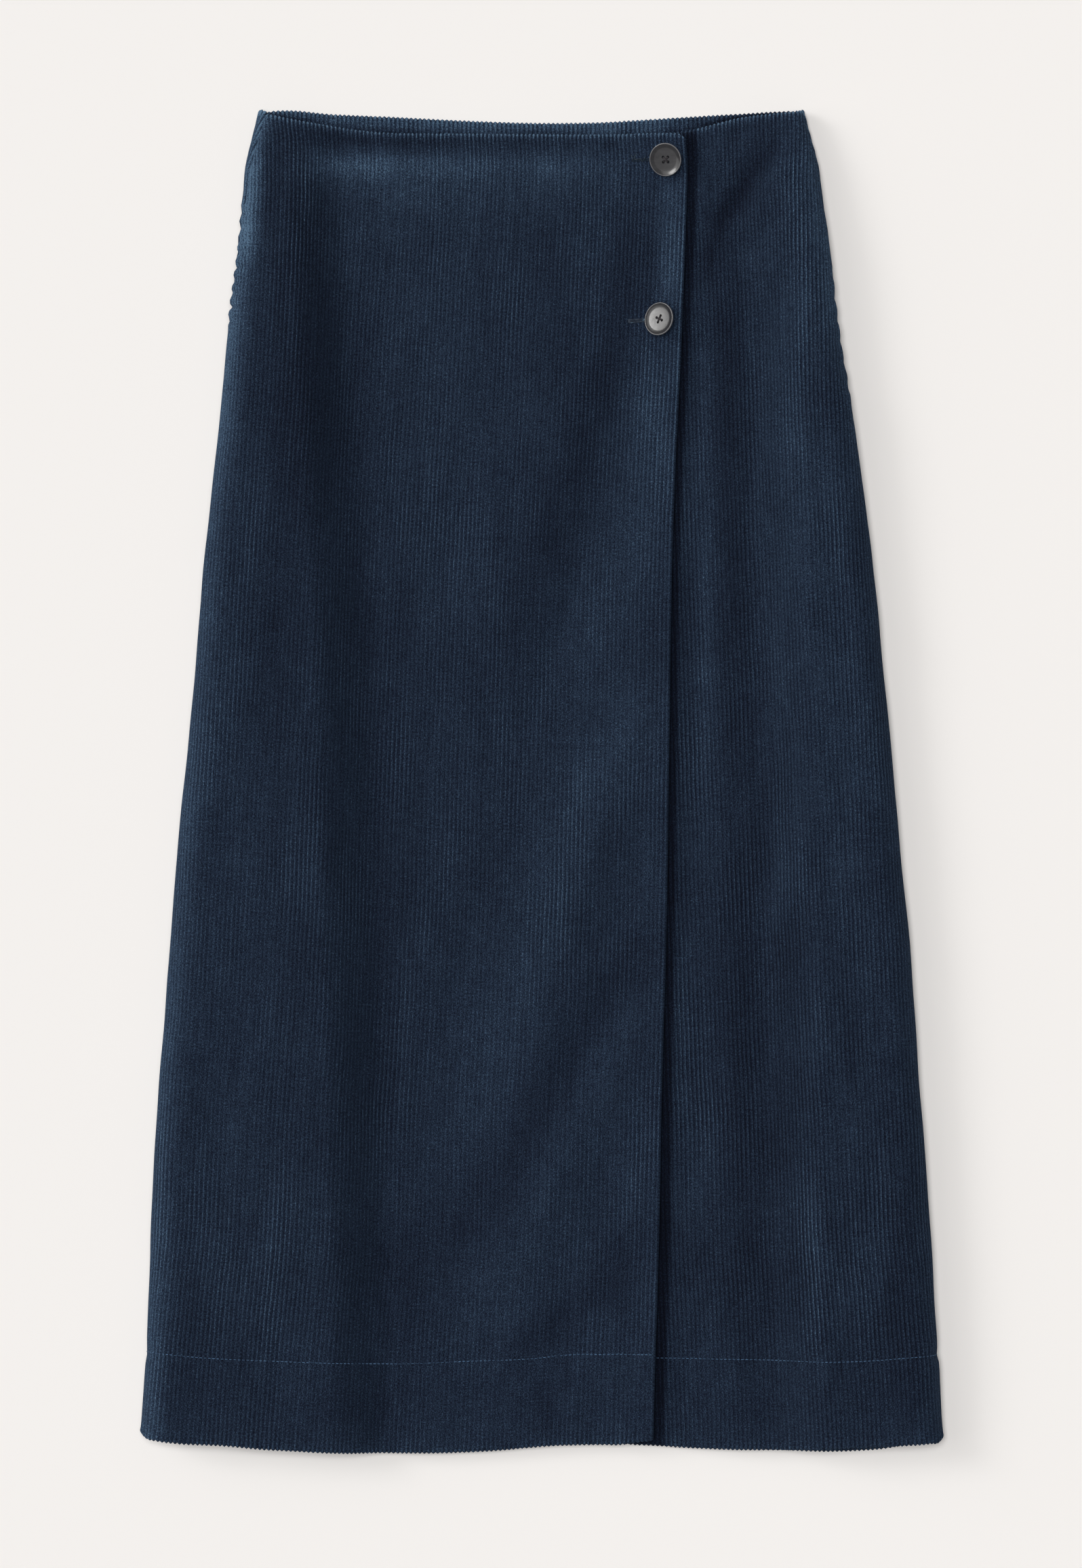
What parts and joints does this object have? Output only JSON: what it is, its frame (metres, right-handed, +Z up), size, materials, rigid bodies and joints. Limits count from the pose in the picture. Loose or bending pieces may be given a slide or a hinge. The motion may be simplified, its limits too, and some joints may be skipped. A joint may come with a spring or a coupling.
{
  "type": "wrap skirt",
  "caption": "Long flared corduroy wrap skirt laid flat, front up, with an overlapping front panel and round buttons at the waist.",
  "frame": {"origin": "on the floor under the middle of the laid skirt's overall box", "axes": "+X to the right over the front, towards the side where the under-wrap shows; +Y along the skirt's length towards the waist; +Z up from the floor, out of the front"},
  "size_m": [0.5077, 0.8523, 0.0297],
  "materials": {
    "corduroy": "navy cotton corduroy, napped wales, matt with a soft sheen along the wales",
    "corduroy_inside": "navy cotton corduroy facing",
    "button": "charcoal grey resin, polished rim and satin dish"
  },
  "bodies": {
    "root": {"back_panel": "corduroy", "back_waist_facing": "corduroy_inside", "front_under_wrap": "corduroy", "front_over_wrap": "corduroy", "button_upper": "button", "button_lower": "button"}
  },
  "joints": []
}
